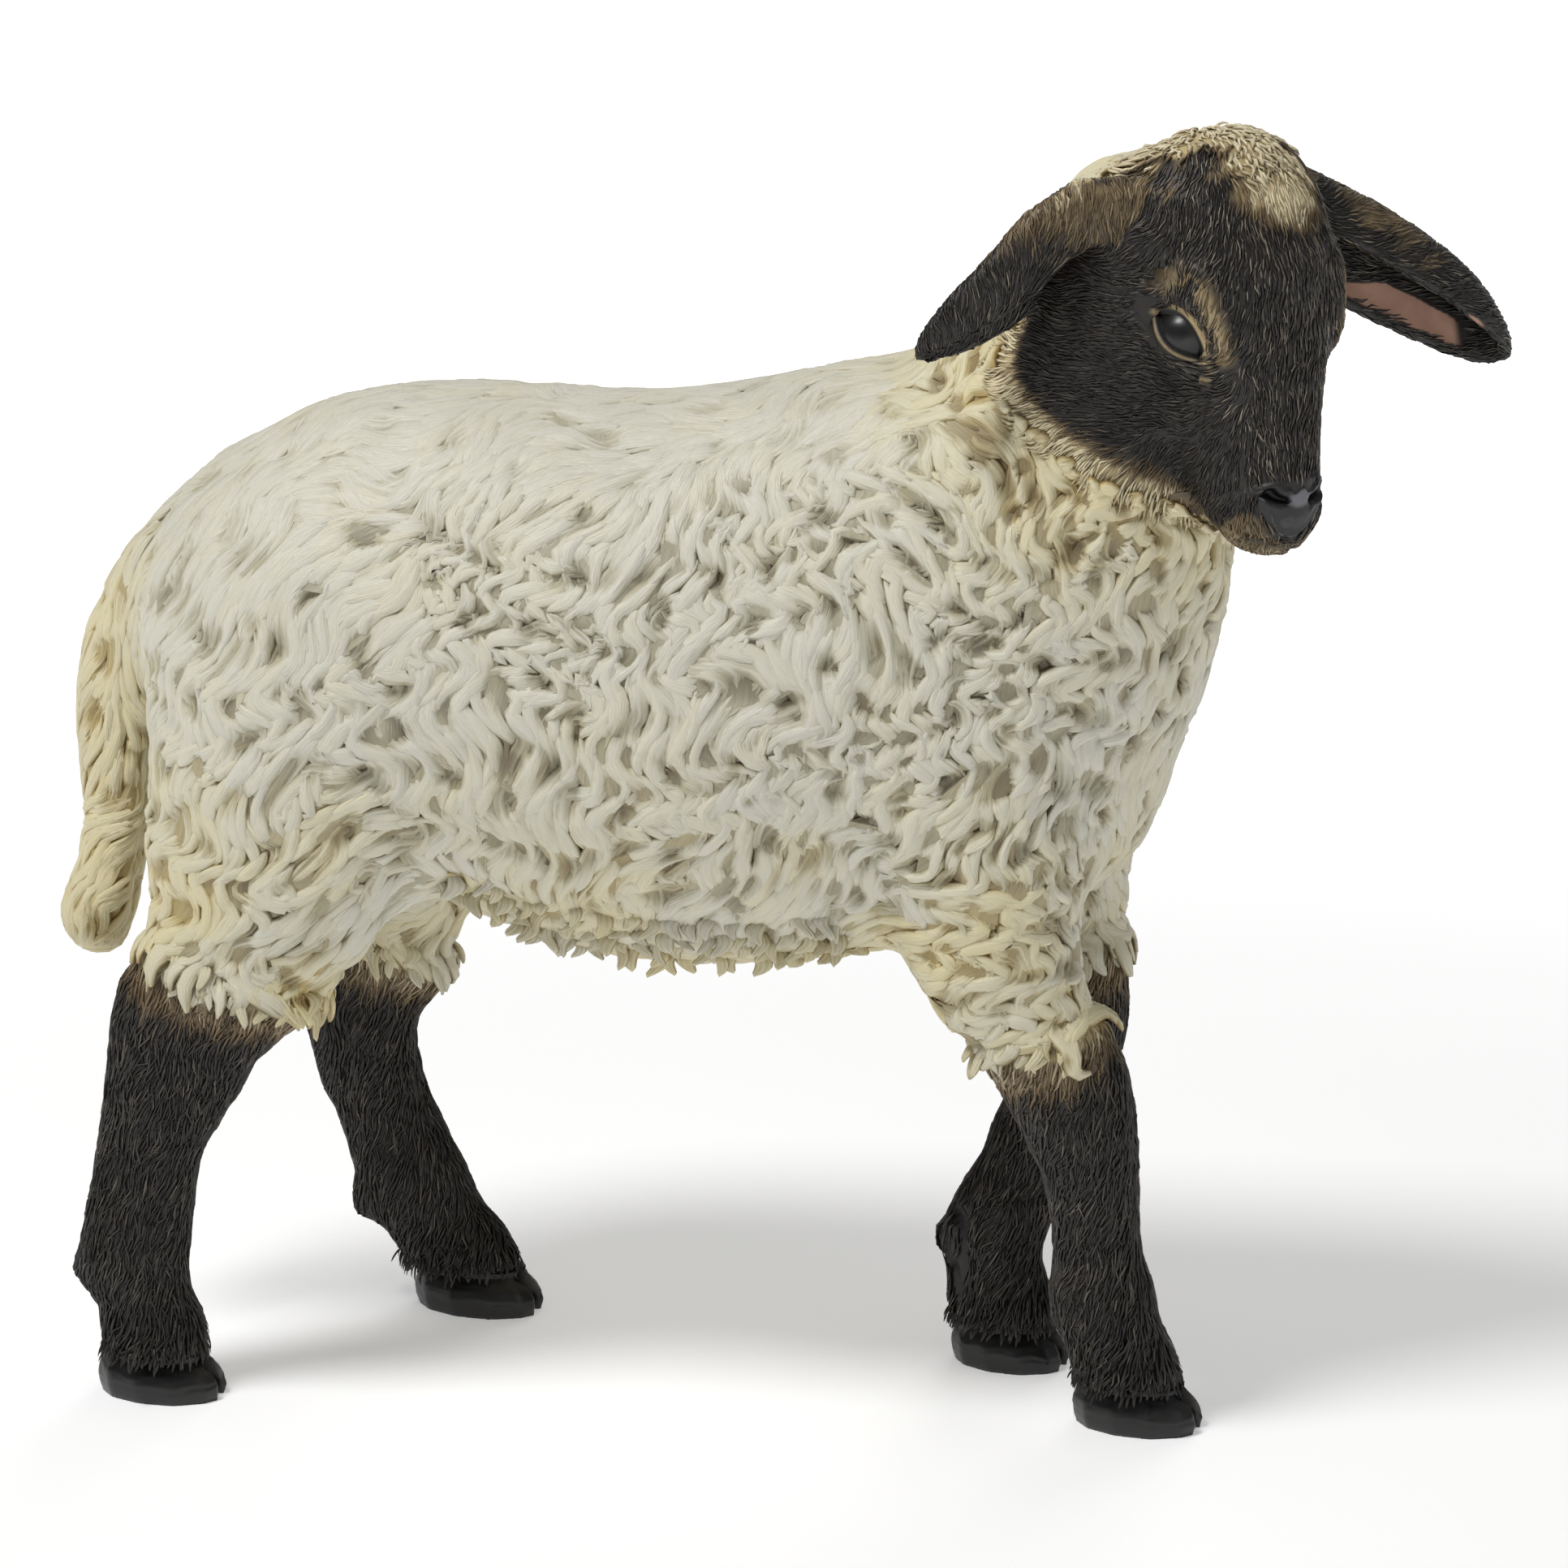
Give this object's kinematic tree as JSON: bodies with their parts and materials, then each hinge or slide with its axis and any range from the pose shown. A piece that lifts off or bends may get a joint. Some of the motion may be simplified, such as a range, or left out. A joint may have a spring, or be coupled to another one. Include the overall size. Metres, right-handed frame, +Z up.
{
  "type": "cast resin lamb statue",
  "caption": "Painted resin garden statue of a young black-faced lamb with a curly cream fleece, standing in a walking stance with its head turned down to its right.",
  "frame": {"origin": "on the floor, under the middle of the figure's box", "axes": "+X is the way the body faces, +Y the lamb's left, +Z up"},
  "size_m": [0.4494, 0.134, 0.4083],
  "materials": {
    "fleece": "cast resin, painted cream with a thin tan wash in the recesses",
    "dark_hair": "cast resin, painted brown-black and dry-brushed grey-brown",
    "horn": "cast resin, glossy black paint, worn grey at the toes",
    "eye": "cast resin, high-gloss black"
  },
  "bodies": {
    "root": {"trunk": "fleece", "neck": "fleece", "tail": "fleece", "head": "dark_hair", "ear_left": "dark_hair", "ear_right": "dark_hair", "eye_left": "eye", "eye_right": "eye", "hindleg_right_upper": "fleece", "hindleg_right_shank": "dark_hair", "hindleg_right_claw_left": "horn", "hindleg_right_claw_right": "horn", "hindleg_left_upper": "fleece", "hindleg_left_shank": "dark_hair", "hindleg_left_claw_left": "horn", "hindleg_left_claw_right": "horn", "foreleg_right_upper": "fleece", "foreleg_right_shank": "dark_hair", "foreleg_right_claw_left": "horn", "foreleg_right_claw_right": "horn", "foreleg_left_upper": "fleece", "foreleg_left_shank": "dark_hair", "foreleg_left_claw_left": "horn", "foreleg_left_claw_right": "horn"}
  },
  "joints": []
}
